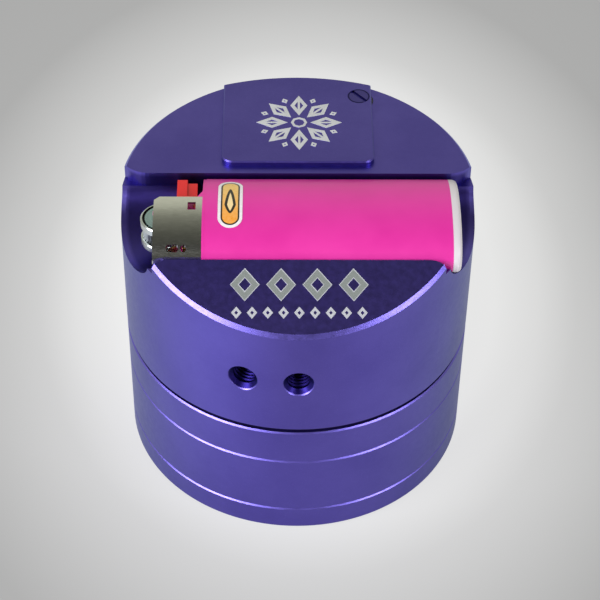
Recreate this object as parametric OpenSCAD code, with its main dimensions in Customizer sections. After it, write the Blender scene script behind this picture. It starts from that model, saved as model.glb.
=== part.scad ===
/* [Body] */
// Outside diameter of the stacked body
body_d = 68; // [66:0.5:74]
// Height of the tray's outside wall
tray_h = 5.7; // [5.2:0.1:9]
// Height of the sifter ring's outside wall
sifter_h = 14; // [12:0.5:24]
// Height of the grinding chamber's outside wall
chamber_h = 8.2; // [8:0.2:12]
// Height of the dark gap in which the glide ring shows
glide_gap = 0.9; // [0.6:0.1:1.4]
// Height of the lid's outside wall
lid_h = 31.2; // [30:0.2:36]
// Chamfer on the lid's top rim and the tray's foot
rim_chamfer = 0.5; // [0.3:0.1:0.8]
// Chamfer on the edges where two stages meet
joint_chamfer = 0.28; // [0.15:0.01:0.4]

/* [Stages] */
// Wall of the lid's skirt
lid_wall = 4.4; // [3.6:0.1:4.8]
// Wall of the chamber's collar, which the skirt slides over
collar_wall = 2; // [1.6:0.1:2.6]
// Height of the collar above the chamber's shoulder
collar_h = 6.1; // [5:0.1:7]
// Wall of a stage around its threaded socket
stage_wall = 3.8; // [3.6:0.1:4.8]
// Wall of a threaded spigot
spigot_wall = 2.7; // [2.2:0.1:3.2]
// Height of a threaded spigot
spigot_h = 3.4; // [3:0.1:3.6]
// Pitch of the stage threads
thread_pitch = 1.5; // [1.2:0.1:1.6]
// Depth of the stage threads
thread_depth = 0.45; // [0.3:0.05:0.6]
// Clearance between round walls that slide past each other
slide_gap = 0.3; // [0.25:0.05:0.4]
// Clearance of pieces that are let into a seat
seat_gap = 0.05; // [0.02:0.01:0.08]
// Thickness of the chamber's floor
floor_t = 2; // [1.6:0.1:2.6]
// Thickness of the tray's floor
tray_floor_t = 1.8; // [1.4:0.1:2.4]
// Chamfer between the tray's floor and its wall
tray_corner = 1; // [0.5:0.1:1.5]

/* [Teeth] */
// Height of the grinding room between floor and lid
room_h = 11; // [10:0.5:12]
// Half width of a tooth along the radius
tooth_w = 1.2; // [0.9:0.1:1.3]
// Half length of a tooth around the axis
tooth_l = 2.2; // [1.6:0.1:2.6]
// Clearance between the teeth's tips and the face they pass
tooth_gap = 0.6; // [0.4:0.1:1]
// Radius of the innermost ring of teeth
tooth_r = 8.2; // [8:0.1:8.6]
// Thickness of the toothed plate in the lid
plate_t = 2; // [1.5:0.1:2.4]
// Radius of the holes in the chamber's floor
drop_r = 1.7; // [1.2:0.1:1.9]
// Distance from the outer ring of holes to the chamber's wall
drop_edge = 2.325; // [2:0.025:2.6]
// Number of teeth in the lid's three rings, from the innermost
lid_teeth = [6, 12, 16];
// Number of teeth in the chamber's two rings, from the innermost
chamber_teeth = [8, 14];
// Number of holes in the inner and the outer ring
drop_counts = [14, 24];

/* [Magnets] */
// Radius of the two centre magnets
magnet_r = 5; // [4:0.25:5.2]
// Thickness of the two centre magnets
magnet_t = 3; // [2:0.25:3]
// Radius of the posts that hold the centre magnets
post_r = 6.4; // [6.2:0.1:6.6]
// Distance between the facing ends of the posts
post_gap = 0.4; // [0.3:0.1:0.8]

/* [Screen] */
// Width of the ledge under the screen
ledge_w = 2.4; // [1.8:0.1:3]
// Thickness of the ledge under the screen
ledge_t = 1.2; // [1:0.1:1.6]
// Thickness of the screen
screen_t = 0.2; // [0.15:0.05:0.3]
// Height of the ring that clamps the screen
clamp_h = 1.5; // [1.2:0.1:2]
// Width of the ring that clamps the screen
clamp_w = 2; // [1.6:0.1:2.4]

/* [Glide ring] */
// How far the glide ring stays back from the outside wall
glide_inset = 1.1; // [0.8:0.1:1.6]
// Depth of the glide ring's seat in the chamber's shoulder
glide_seat = 0.4; // [0.3:0.1:0.6]

/* [Lighter slot] */
// Distance from the body's axis to the slot's centre line
slot_back = 7.8; // [7.4:0.1:8.2]
// Depth of the lighter's centre line under the lid's top
slot_axis_depth = 2.7; // [2.4:0.1:3.2]
// Clearance between the lighter and its trough
slot_clear = 0.3; // [0.25:0.05:0.4]
// Height of the straight wall below the lighter's centre line
slot_wall_drop = 0.4; // [0.3:0.1:0.6]
// Step between the straight wall and the trough
slot_step = 0.1; // [0.08:0.01:0.15]
// Radius of the flared corners at the slot's rear
rear_flare_r = 6; // [5.4:0.1:6.2]
// Radius of the flared corners at the slot's front
front_flare_r = 4.2; // [3.8:0.1:4.6]
// Distance from the body's side to the start of the rear flares
rear_flare_in = 5.5; // [5.2:0.1:6.5]
// Distance from the body's side to the start of the front flares
front_flare_in = 10; // [9.5:0.5:11]

/* [Sloped face] */
// Angle of the sloped face below the horizontal
slope_angle = 21.5; // [18:0.5:24]
// Drop of the front lip below the lid's top
lip_drop = 0.7; // [0.5:0.1:1]
// Width of the bright chamfer around the sloped face
slope_chamfer = 0.6; // [0.4:0.1:0.9]

/* [Cover and pocket] */
// Half width of the swivel cover
cover_x = 14.7; // [14:0.1:15]
// Distance from the slot's rear lip to the cover
cover_land = 2.1; // [1.6:0.1:2.4]
// Thickness of the swivel cover
cover_t = 1.1; // [1:0.1:1.5]
// Radius of the cover's rear edge
cover_back_r = 45; // [36:1:60]
// Radius of the cover's front corners
cover_corner_r = 2; // [1.5:0.1:2.5]
// Chamfer along the cover's top edge
cover_chamfer = 0.25; // [0.15:0.05:0.3]
// Depth of the pocket under the cover
pocket_d = 12; // [10:0.5:13]
// Width of the land between the cover's edge and the pocket
pocket_land = 2.2; // [1.8:0.1:3]
// Wall between the pocket and the outside
pocket_wall = 3; // [2.6:0.1:3.6]

/* [Pivot screw] */
// Distance of the pivot from the cover's right edge
pivot_side = 2.5; // [2.4:0.1:2.8]
// Distance of the pivot from the cover's rear edge
pivot_rear = 4.5; // [4.2:0.1:5]
// Wall around the washer's recess, beside the pocket
boss_wall = 1.5; // [1:0.1:2]
// Radius of the pivot screw's head
screw_head_r = 2.15; // [1.9:0.05:2.2]
// Thickness of the pivot screw's head
screw_head_t = 0.6; // [0.5:0.05:0.6]
// Radius of the pivot screw's shank
screw_r = 1.25; // [1:0.05:1.3]
// Length of the pivot screw's shank in the lid
screw_l = 7; // [5:0.5:8]
// Width of the screwdriver slot
driver_w = 0.85; // [0.6:0.05:1]
// Depth of the screwdriver slot
driver_d = 0.35; // [0.25:0.05:0.4]
// Direction of the screwdriver slot
driver_angle = -50; // [-90:5:90]
// Outside radius of the thin washer under the cover
washer_r = 2.9; // [2.6:0.1:3.1]
// Thickness of the washer under the cover
washer_t = 0.4; // [0.3:0.05:0.5]

/* [Threaded sockets] */
// Radius at the crests of the socket threads
socket_r = 2.1; // [1.9:0.05:2.1]
// Depth of the socket threads
socket_thread = 0.4; // [0.3:0.05:0.45]
// Pitch of the socket threads
socket_pitch = 0.8; // [0.7:0.05:1]
// Length of the sockets
socket_l = 9; // [7:0.5:10]
// Radius of the sockets' countersunk mouths
socket_mouth_r = 3.05; // [2.8:0.05:3.2]
// Height of the sockets above the lid's lower edge
socket_up = 12.6; // [12:0.2:14]
// Angle between the two sockets
socket_angle = 17.8; // [16:0.2:24]

/* [Lighter] */
// Width of the lighter's oval body
lighter_w = 22.7; // [22.2:0.1:23]
// Thickness of the lighter's oval body
lighter_t = 11.4; // [11:0.1:11.8]
// Distance from the body's side to the lighter's right end
lighter_in = 4; // [3.4:0.1:4.6]
// Length of the lighter's coloured tank
tank_l = 45.8; // [44:0.2:47]
// Length of the lighter's base cap
base_l = 1.6; // [1.3:0.1:2.2]
// Wall of the lighter's tank
tank_wall = 1.4; // [1.2:0.1:1.6]
// Depth of the plugs that close the tank
plug_l = 3; // [2:0.25:3.5]
// Rounding of the base cap's outer edge
base_round = 0.9; // [0.6:0.1:1.2]
// Thickness of the head's flange
flange_t = 0.55; // [0.4:0.05:0.8]
// Length of the metal hood
hood_l = 9; // [8.6:0.1:9.2]
// Thickness of the hood's sheet
hood_t = 0.45; // [0.35:0.05:0.55]
// How far the hood reaches behind the lighter's centre line
hood_back = 1.65; // [1.4:0.05:1.9]
// Corner cut off the hood
hood_corner = 1.4; // [0.8:0.1:1.6]
// Radius of the vent holes in the hood
vent_r = 0.55; // [0.4:0.05:0.7]
// Stretch that makes the outer vent hole a slot
vent_l = 1.2; // [0.6:0.1:1.4]
// Radius of the two thumb wheels
thumb_r = 4.1; // [3.9:0.05:4.2]
// Thickness of one thumb wheel
thumb_t = 1.6; // [1.2:0.05:1.6]
// Radius of the spark wheel's teeth
spark_r = 3.7; // [3.5:0.05:3.8]
// Thickness of the spark wheel
spark_t = 2.7; // [2.6:0.1:3]
// Number of teeth on the spark wheel
spark_teeth = 32; // [20:1:40]
// Depth of the teeth on the spark wheel
spark_tooth = 0.3; // [0.2:0.05:0.4]
// Bevel on the thumb wheels' edges
thumb_bevel = 0.2; // [0.1:0.05:0.3]
// Width of the thumb wheels' smooth rims
thumb_rim = 0.4; // [0.35:0.05:0.6]
// Depth of the recess inside the thumb wheels' rims
thumb_recess = 0.4; // [0.2:0.05:0.6]
// Radius of the thumb wheels' serrated hubs
hub_r = 3.4; // [3:0.05:3.45]
// Radius of the wheels' axle
axle_r = 0.8; // [0.6:0.05:0.9]
// Distance of the wheel's axle in front of the lighter's centre line
wheel_front = 1.25; // [1:0.05:1.5]
// Distance of the wheel's axle from the head's flange
wheel_out = 7.5; // [7.2:0.1:7.8]
// Outside distance between the two ears that carry the axle
ear_span = 8.3; // [8.1:0.05:8.5]
// Thickness of one ear
ear_t = 0.85; // [0.7:0.05:0.9]
// Radius of an ear around the axle
ear_r = 1.7; // [1.5:0.1:1.9]
// Wall of the tube that holds the flint
flint_tube_wall = 0.65; // [0.5:0.05:0.8]
// Radius of the flint
flint_r = 1.2; // [1:0.05:1.25]
// Length of the flint
flint_l = 3.4; // [3:0.1:3.8]
// Radius of the flint spring's wire
spring_wire_r = 0.2; // [0.15:0.01:0.22]
// Number of turns of the flint spring
spring_turns = 9; // [6:1:10]
// Length of the flint spring
spring_l = 11; // [9:0.5:13]
// Radius of the jet's stem
jet_r = 1; // [0.8:0.05:1]
// Radius of the jet's collar
jet_collar_r = 1.8; // [1.6:0.05:1.9]
// Thickness of the jet's collar
jet_collar_t = 0.8; // [0.6:0.1:1]
// Length of the jet outside the head's flange
jet_l = 3.6; // [3.2:0.1:4]
// Distance from the lighter's front edge to the jet
jet_in = 4.95; // [4.75:0.05:5.15]
// Thickness of the fork's thumb pad
pad_t = 1.9; // [1.8:0.1:2.2]
// Distance of the thumb pad from the head's flange
pad_out = 3.1; // [2.8:0.1:3.2]
// Clearance between the pad's web and the head's flange
web_gap = 1.2; // [1.2:0.05:1.5]
// Height of the web
web_h = 5.4; // [4:0.2:5.6]
// Thickness of the fork's arms
arm_t = 0.9; // [0.7:0.05:1]
// Radius of the fork's trunnions
trunnion_r = 0.6; // [0.5:0.05:0.7]

/* [Hidden] */
$fn = 96;
violet = [0.27, 0.22, 0.55];
pink = [0.93, 0.2, 0.62];
steel = [0.72, 0.73, 0.75];
eps = 0.01;
over = 1;
// Half width of a thread's groove for each millimetre of its depth.
groove_flank = 0.75;

body_r = body_d / 2;

// Heights of the stages, from the surface up.
sifter_z = tray_h;
chamber_z = sifter_z + sifter_h;
shoulder_z = chamber_z + chamber_h;
lid_z = shoulder_z + glide_gap;
top_z = lid_z + lid_h;
collar_z = shoulder_z + collar_h;

// Round walls of the stages.
lid_bore_r = body_r - lid_wall;
collar_r = lid_bore_r - slide_gap;
room_r = collar_r - collar_wall;
socket_stage_r = body_r - stage_wall;
spigot_r = socket_stage_r - slide_gap;
spigot_bore_r = spigot_r - spigot_wall;
stage_depth = spigot_h + slide_gap;

// Heights inside the stages.
floor_z = chamber_z + stage_depth + floor_t;
ceiling_z = floor_z + room_h;
plate_z = ceiling_z + plate_t;
ledge_z = sifter_z + stage_depth;
screen_z = ledge_z + ledge_t;
clamp_z = screen_z + screen_t;
clamp_r = spigot_bore_r - seat_gap;

// Rings of teeth and holes lie a step apart, the outer holes half a step beyond the teeth.
drop_rings = [2, 4.5];
tooth_step = (room_r - drop_edge - drop_r - tooth_r) / drop_rings[1];

// Posts and magnets on the axis.
post_z = floor_z + room_h / 2 - post_gap / 2;
lid_post_z = post_z + post_gap;

// Slot, trough and lighter.
slot_y = -slot_back;
slot_z = top_z - slot_axis_depth;
lighter_a = lighter_w / 2;
lighter_b = lighter_t / 2;
trough_a = lighter_a + slot_clear;
trough_b = lighter_b + slot_clear;
slot_half = trough_a + slot_step;
rear_lip_x = body_r - rear_flare_in;
rear_lip_y = slot_y + slot_half;
front_lip_x = body_r - front_flare_in;
front_lip_y = slot_y - slot_half;

// The lid's front part starts halfway between the slot and the sockets' ends.
socket_end_r = body_r - socket_l;
socket_end_y = socket_r * sin(socket_angle) - socket_end_r * cos(socket_angle);
front_y = (front_lip_y + socket_end_y) / 2;

// Sloped face: height over the axis and rise per millimetre towards the rear.
slope_k = tan(slope_angle);
slope_z = top_z - lip_drop - slope_k * front_lip_y;

// Swivel cover and its pivot.
cover_y = rear_lip_y + cover_land;
cover_corner_y = sqrt(pow(body_r - rim_chamfer, 2) - pow(cover_x, 2));
cover_back_y = cover_corner_y - sqrt(pow(cover_back_r, 2) - pow(cover_x, 2));
pivot_x = cover_x - pivot_side;
pivot_y = cover_back_y + sqrt(pow(cover_back_r, 2) - pow(pivot_x, 2)) - pivot_rear;

// Places along the lighter, counted from its right end.
tank_x1 = body_r - lighter_in - base_l;
tank_x0 = tank_x1 - tank_l;
flange_x = tank_x0 - flange_t;
wheel_x = flange_x - wheel_out;
wheel_y = slot_y - wheel_front;
jet_y = slot_y - lighter_a + jet_in;
plug_fit = tank_wall + seat_gap;

// The head and its hood stay a little inside the tank's outline, the moving pad a little more.
hood_inset = 0.1;
pad_inset = 0.2;
hood_x = flange_x - hood_l;
hood_y = slot_y + hood_back;

// The flint stands out of its tube towards the spark wheel, and the spring fills the rest.
spark_gap = 0.1;
flint_out = 0.9;
spring_gap = 0.05;
tube_end = 1;
flint_x = wheel_x + spark_r + spark_gap;
flint_tube_r = flint_r + seat_gap;
flint_tube_out_r = flint_tube_r + flint_tube_wall;
flint_end_x = flint_x + flint_l;
spring_end_x = flint_end_x + spring_l;

// Fork of the lighter: its trunnions, arms, thumb pad and the notch around the jet.
arm_gap = 0.25;
pivot_out = 1.2;
pivot_back = 0.6;
tip_wall = 0.5;
arm_root = 2.2;
notch_gap = 0.35;
pad_gap = 0.9;
pad_end = 0.3;
web_in = 2.4;
ear_z = ear_span / 2;
arm_z = ear_z - ear_t - arm_gap;
arm_w = arm_z - flint_tube_out_r - arm_gap;
fork_x = flange_x - pivot_out;
fork_y = slot_y + pivot_back;
fork_tip_y = jet_y - jet_r - tip_wall;
pad_x1 = flange_x - pad_out;
pad_x0 = pad_x1 - pad_t;
pad_y0 = hood_y + pad_gap;
pad_y1 = slot_y + lighter_a - pad_end;
arm_x0 = fork_x - arm_t / 2;
jet_collar_x = arm_x0 - arm_gap - jet_collar_t;

// Points on an arc of n steps about (x, y).
function arc(x, y, r, a0, a1, n) =
    [for (i = [0:n]) [x + r * cos(a0 + (a1 - a0) * i / n), y + r * sin(a0 + (a1 - a0) * i / n)]];

// V grooves around a wall of radius r: out > 0 cuts outwards, out < 0 cuts inwards.
module thread_rings(r, z0, z1, pitch, depth, out) {
    rings = floor((z1 - z0) / pitch);
    start = z0 + (z1 - z0 - rings * pitch) / 2;
    half = groove_flank * depth;
    for (i = [0:rings - 1]) {
        z = start + pitch * (i + 0.5);
        rotate_extrude()
            polygon([[r - out * eps, z - half], [r + out * depth, z], [r - out * eps, z + half]]);
    }
}

// One ring of diamond teeth.
module tooth_ring(r, count, z0, z1) {
    for (i = [0:count - 1])
        rotate([0, 0, (i + 0.5) * 360 / count])
            translate([r, 0, z0])
                linear_extrude(z1 - z0)
                    polygon([[tooth_w, 0], [0, tooth_l], [-tooth_w, 0], [0, -tooth_l]]);
}

// Oval bar along X with the lighter's centre line as its axis.
module oval_bar(x0, x1, a, b) {
    translate([x0, slot_y, slot_z])
        rotate([0, 90, 0])
            scale([b, a, 1])
                cylinder(h = x1 - x0, r = 1);
}

// Round bar along X.
module bar_x(x0, x1, y, r) {
    translate([x0, y, slot_z])
        rotate([0, 90, 0])
            cylinder(h = x1 - x0, r = r);
}

// Outline of the swivel cover, drawn inwards by an inset.
module cover_outline(inset) {
    corner = cover_corner_r - inset;
    side = cover_x - inset;
    back = cover_back_r - inset;
    back_a = acos(side / back);
    polygon(concat(
        arc(-cover_x + cover_corner_r, cover_y + cover_corner_r, corner, 180, 270, 10),
        arc(cover_x - cover_corner_r, cover_y + cover_corner_r, corner, 270, 360, 10),
        arc(0, cover_back_y, back, back_a, 180 - back_a, 16)));
}

// Plan of the slot, with its four flared corners.
module slot_plan() {
    polygon(concat(flare(1, 1), flare(-1, 1), flare(-1, -1), flare(1, -1)));
}

// Points of one flared corner: sx picks the right or left end, sy the rear or front lip.
function flare(sx, sy) =
    let (
        r = sy > 0 ? rear_flare_r : front_flare_r,
        x = sy > 0 ? rear_lip_x : front_lip_x,
        y = sy > 0 ? rear_lip_y : front_lip_y,
        points = [for (i = [0:12]) [sx * (x + r * sin(i * 7.5)), y + sy * r * (1 - cos(i * 7.5))]],
        ends = [[sx * (body_r + over), y + sy * r]],
        out = concat(points, ends)
    )
    sx * sy > 0 ? [for (i = [len(out) - 1:-1:0]) out[i]] : out;

module tray() {
    color(violet)
        difference() {
            rotate_extrude()
                polygon([
                    [0, 0], [body_r - rim_chamfer, 0], [body_r, rim_chamfer],
                    [body_r, tray_h - joint_chamfer], [body_r - joint_chamfer, tray_h],
                    [spigot_r, tray_h], [spigot_r, tray_h + spigot_h - joint_chamfer],
                    [spigot_r - joint_chamfer, tray_h + spigot_h],
                    [spigot_bore_r, tray_h + spigot_h], [spigot_bore_r, tray_floor_t + tray_corner],
                    [spigot_bore_r - tray_corner, tray_floor_t], [0, tray_floor_t]]);
            thread_rings(spigot_r, tray_h, tray_h + spigot_h, thread_pitch, thread_depth, -1);
        }
}

module sifter_ring() {
    spigot_z = chamber_z + spigot_h;
    color(violet)
        difference() {
            rotate_extrude()
                polygon([
                    [socket_stage_r, sifter_z], [body_r - joint_chamfer, sifter_z],
                    [body_r, sifter_z + joint_chamfer], [body_r, chamber_z - joint_chamfer],
                    [body_r - joint_chamfer, chamber_z], [spigot_r, chamber_z],
                    [spigot_r, spigot_z - joint_chamfer], [spigot_r - joint_chamfer, spigot_z],
                    [spigot_bore_r, spigot_z], [spigot_bore_r, screen_z],
                    [spigot_bore_r - ledge_w, screen_z], [spigot_bore_r - ledge_w, ledge_z],
                    [socket_stage_r, ledge_z]]);
            thread_rings(spigot_r, chamber_z, spigot_z, thread_pitch, thread_depth, -1);
            thread_rings(socket_stage_r, sifter_z, ledge_z, thread_pitch, thread_depth, 1);
        }
}

module screen() {
    color([0.7, 0.7, 0.68])
        translate([0, 0, screen_z])
            cylinder(h = screen_t, r = clamp_r);
}

module screen_clamp() {
    color(steel)
        translate([0, 0, clamp_z])
            difference() {
                cylinder(h = clamp_h, r = clamp_r);
                translate([0, 0, -over])
                    cylinder(h = clamp_h + 2 * over, r = clamp_r - clamp_w);
            }
}

module chamber() {
    seat_r = body_r - glide_inset + 2 * seat_gap;
    seat_z = shoulder_z - glide_seat;
    color(violet) {
        difference() {
            rotate_extrude()
                polygon([
                    [0, chamber_z + stage_depth], [socket_stage_r, chamber_z + stage_depth],
                    [socket_stage_r, chamber_z], [body_r - joint_chamfer, chamber_z],
                    [body_r, chamber_z + joint_chamfer], [body_r, shoulder_z - joint_chamfer],
                    [body_r - joint_chamfer, shoulder_z], [seat_r, shoulder_z], [seat_r, seat_z],
                    [collar_r, seat_z], [collar_r, collar_z - joint_chamfer],
                    [collar_r - joint_chamfer, collar_z], [room_r, collar_z],
                    [room_r, floor_z], [0, floor_z]]);
            thread_rings(socket_stage_r, chamber_z, chamber_z + stage_depth,
                thread_pitch, thread_depth, 1);
            for (i = [0, 1])
                drop_holes(tooth_r + drop_rings[i] * tooth_step, drop_counts[i]);
        }
        difference() {
            translate([0, 0, floor_z - eps])
                cylinder(h = post_z - floor_z + eps, r = post_r);
            translate([0, 0, post_z - magnet_t])
                cylinder(h = magnet_t + over, r = magnet_r);
        }
        for (i = [0, 1])
            tooth_ring(tooth_r + (2 * i + 1) * tooth_step, chamber_teeth[i],
                floor_z - eps, ceiling_z - tooth_gap);
    }
}

// One ring of holes through the chamber's floor.
module drop_holes(r, count) {
    for (i = [0:count - 1])
        rotate([0, 0, i * 360 / count])
            translate([r, 0, floor_z - floor_t - over])
                cylinder(h = floor_t + 2 * over, r = drop_r);
}

module chamber_magnet() {
    color(steel)
        translate([0, 0, post_z - magnet_t])
            cylinder(h = magnet_t, r = magnet_r - seat_gap);
}

module lid_magnet() {
    color(steel)
        translate([0, 0, lid_post_z])
            cylinder(h = magnet_t, r = magnet_r - seat_gap);
}

module glide_ring() {
    color([0.07, 0.06, 0.12])
        translate([0, 0, shoulder_z - glide_seat])
            difference() {
                cylinder(h = glide_seat + glide_gap, r = body_r - glide_inset);
                translate([0, 0, -over])
                    cylinder(h = glide_seat + glide_gap + 2 * over, r = collar_r + seat_gap);
            }
}

// The two threaded sockets in the lid's front wall.
module threaded_socket(angle) {
    cone = socket_mouth_r - socket_r;
    rotate([0, 0, angle])
        translate([0, 0, lid_z + socket_up])
            rotate([90, 0, 0]) {
                translate([0, 0, socket_end_r])
                    cylinder(h = socket_l + over, r = socket_r);
                translate([0, 0, body_r - cone])
                    cylinder(h = cone + over, r1 = socket_r, r2 = socket_mouth_r + over);
                thread_rings(socket_r, socket_end_r + cone, body_r - cone,
                    socket_pitch, socket_thread, 1);
            }
}

// Everything above the sloped face, with the chamfer around its rim.
module slope_cut() {
    multmatrix([[1, 0, 0, 0], [0, 1, 0, 0], [0, slope_k, 1, slope_z], [0, 0, 0, 1]])
        rotate_extrude()
            polygon([
                [0, 0], [body_r - slope_chamfer, 0], [body_r + over, -slope_chamfer - over],
                [body_r + over, lid_h], [0, lid_h]]);
}

// The pocket under the swivel cover, cut back around the pivot screw.
module pocket() {
    translate([0, 0, top_z - pocket_d])
        linear_extrude(pocket_d + over)
            difference() {
                intersection() {
                    translate([-cover_x + pocket_land, cover_y + pocket_land])
                        square([2 * (cover_x - pocket_land), body_r]);
                    circle(r = body_r - pocket_wall);
                }
                translate([pivot_x, pivot_y])
                    circle(r = washer_r + boss_wall);
            }
}

// The lid above the grinding room's ceiling, with its slot, slope, pocket and sockets.
module lid_block() {
    difference() {
        rotate_extrude()
            polygon([
                [0, plate_z], [lid_bore_r, plate_z], [lid_bore_r, ceiling_z], [body_r, ceiling_z],
                [body_r, top_z - rim_chamfer], [body_r - rim_chamfer, top_z], [0, top_z]]);
        translate([0, 0, slot_z - slot_wall_drop])
            linear_extrude(slot_axis_depth + slot_wall_drop + over)
                slot_plan();
        oval_bar(-body_r - over, body_r + over, trough_a, trough_b);
        slope_cut();
        pocket();
        threaded_socket(0);
        threaded_socket(-socket_angle);
        translate([pivot_x, pivot_y, top_z - screw_l - over])
            cylinder(h = screw_l + 2 * over, r = screw_r + seat_gap);
        translate([pivot_x, pivot_y, top_z - washer_t])
            cylinder(h = washer_t + over, r = washer_r + seat_gap);
    }
}

// Everything in front of the plane between the slot and the sockets.
module front_space() {
    translate([-body_r - over, -body_r - over, 0])
        cube([2 * (body_r + over), body_r + over + front_y, top_z + over]);
}

// The lid is one real piece, kept as three nodes: its rear, its front and its skirt.
module lid() {
    color(violet)
        difference() {
            lid_block();
            front_space();
        }
}

module lid_front() {
    color(violet)
        intersection() {
            lid_block();
            front_space();
        }
}

module lid_skirt() {
    color(violet)
        rotate_extrude()
            polygon([
                [lid_bore_r, lid_z], [body_r - joint_chamfer, lid_z],
                [body_r, lid_z + joint_chamfer], [body_r, ceiling_z], [lid_bore_r, ceiling_z]]);
}

// Toothed plate pressed into the lid's bore, with the post for the lid's magnet.
module tooth_plate() {
    color(violet) {
        translate([0, 0, ceiling_z])
            cylinder(h = plate_t, r = lid_bore_r - seat_gap);
        difference() {
            translate([0, 0, lid_post_z])
                cylinder(h = ceiling_z - lid_post_z + eps, r = post_r);
            translate([0, 0, lid_post_z - over])
                cylinder(h = magnet_t + over, r = magnet_r);
        }
        for (i = [0:2])
            tooth_ring(tooth_r + 2 * i * tooth_step, lid_teeth[i], floor_z + tooth_gap, ceiling_z + eps);
    }
}

module swivel_cover() {
    flat_t = cover_t - cover_chamfer;
    color(violet)
        translate([0, 0, top_z])
            difference() {
                union() {
                    linear_extrude(flat_t)
                        cover_outline(0);
                    hull() {
                        translate([0, 0, flat_t - eps])
                            linear_extrude(eps)
                                cover_outline(0);
                        translate([0, 0, cover_t - eps])
                            linear_extrude(eps)
                                cover_outline(cover_chamfer);
                    }
                }
                translate([pivot_x, pivot_y, -over])
                    cylinder(h = cover_t + 2 * over, r = screw_r + seat_gap);
                translate([pivot_x, pivot_y, cover_t - screw_head_t])
                    cylinder(h = screw_head_t + over, r = screw_head_r + seat_gap);
            }
}

module pivot_screw() {
    color(steel)
        translate([pivot_x, pivot_y, top_z])
            difference() {
                union() {
                    translate([0, 0, cover_t - screw_head_t])
                        cylinder(h = screw_head_t, r = screw_head_r);
                    translate([0, 0, -screw_l])
                        cylinder(h = screw_l + cover_t - screw_head_t + eps, r = screw_r);
                }
                rotate([0, 0, driver_angle])
                    translate([-screw_head_r - over, -driver_w / 2, cover_t - driver_d])
                        cube([2 * (screw_head_r + over), driver_w, driver_d + over]);
            }
}

module pivot_washer() {
    color([0.8, 0.78, 0.7])
        translate([pivot_x, pivot_y, top_z - washer_t])
            difference() {
                cylinder(h = washer_t, r = washer_r);
                translate([0, 0, -over])
                    cylinder(h = washer_t + 2 * over, r = screw_r + seat_gap);
            }
}

module lighter_tank() {
    color(pink)
        difference() {
            oval_bar(tank_x0, tank_x1, lighter_a, lighter_b);
            oval_bar(tank_x0 - over, tank_x1 + over, lighter_a - tank_wall, lighter_b - tank_wall);
        }
}

module lighter_base() {
    color([0.92, 0.9, 0.92]) {
        translate([tank_x1, slot_y, slot_z])
            rotate([0, 90, 0])
                scale([lighter_b / lighter_a, 1, 1])
                    rotate_extrude($fn = 240)
                        polygon(concat(
                            [[0, 0], [lighter_a, 0]],
                            arc(lighter_a - base_round, base_l - base_round, base_round, 0, 90, 6),
                            [[0, base_l]]));
        oval_bar(tank_x1 - plug_l, tank_x1 + eps, lighter_a - plug_fit, lighter_b - plug_fit);
    }
}

// One ear that carries the wheel's axle and the fork's trunnion.
module ear_plan() {
    foot_r = 1.5;
    foot_x = fork_x - trunnion_r - foot_r / 2;
    foot_y = fork_y + foot_r;
    polygon(concat(
        [[flange_x + eps, wheel_y - ear_r - foot_r / 2], [flange_x + eps, foot_y],
            [foot_x, foot_y], [foot_x - foot_r, wheel_y + ear_r]],
        arc(wheel_x, wheel_y, ear_r, 90, 270, 12),
        [[foot_x, wheel_y - ear_r]]));
}

// Small gusset on the flange behind the hood's edge.
module head_gusset() {
    gusset_l = 0.9;
    gusset_w = 1.8;
    gusset_y = hood_y + 2 * seat_gap;
    intersection() {
        translate([0, 0, slot_z + arm_z + arm_gap])
            linear_extrude(lighter_t)
                polygon([
                    [flange_x + eps, gusset_y], [flange_x + eps, gusset_y + gusset_w],
                    [flange_x - gusset_l, gusset_y]]);
        oval_bar(flange_x - gusset_l - over, flange_x + over, lighter_a - hood_inset, lighter_b - hood_inset);
    }
}

module lighter_head() {
    color(pink)
        difference() {
            union() {
                oval_bar(flange_x, tank_x0, lighter_a - hood_inset, lighter_b - hood_inset);
                oval_bar(tank_x0 - eps, tank_x0 + plug_l, lighter_a - plug_fit, lighter_b - plug_fit);
                bar_x(flint_x + flint_out, spring_end_x + tube_end, wheel_y, flint_tube_out_r);
                for (side = [-1, 1])
                    translate([0, 0, slot_z + side * (ear_z - ear_t / 2) - ear_t / 2])
                        linear_extrude(ear_t)
                            ear_plan();
                head_gusset();
            }
            bar_x(flint_x + flint_out - over, spring_end_x, wheel_y, flint_tube_r);
            bar_x(flange_x - over, tank_x0 + plug_l + over, jet_y, jet_r + seat_gap);
            translate([wheel_x, wheel_y, slot_z - ear_z - over])
                cylinder(h = ear_span + 2 * over, r = axle_r + seat_gap / 2);
            translate([fork_x, fork_y, slot_z - ear_z - over])
                cylinder(h = ear_span + 2 * over, r = trunnion_r + seat_gap);
        }
}

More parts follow.
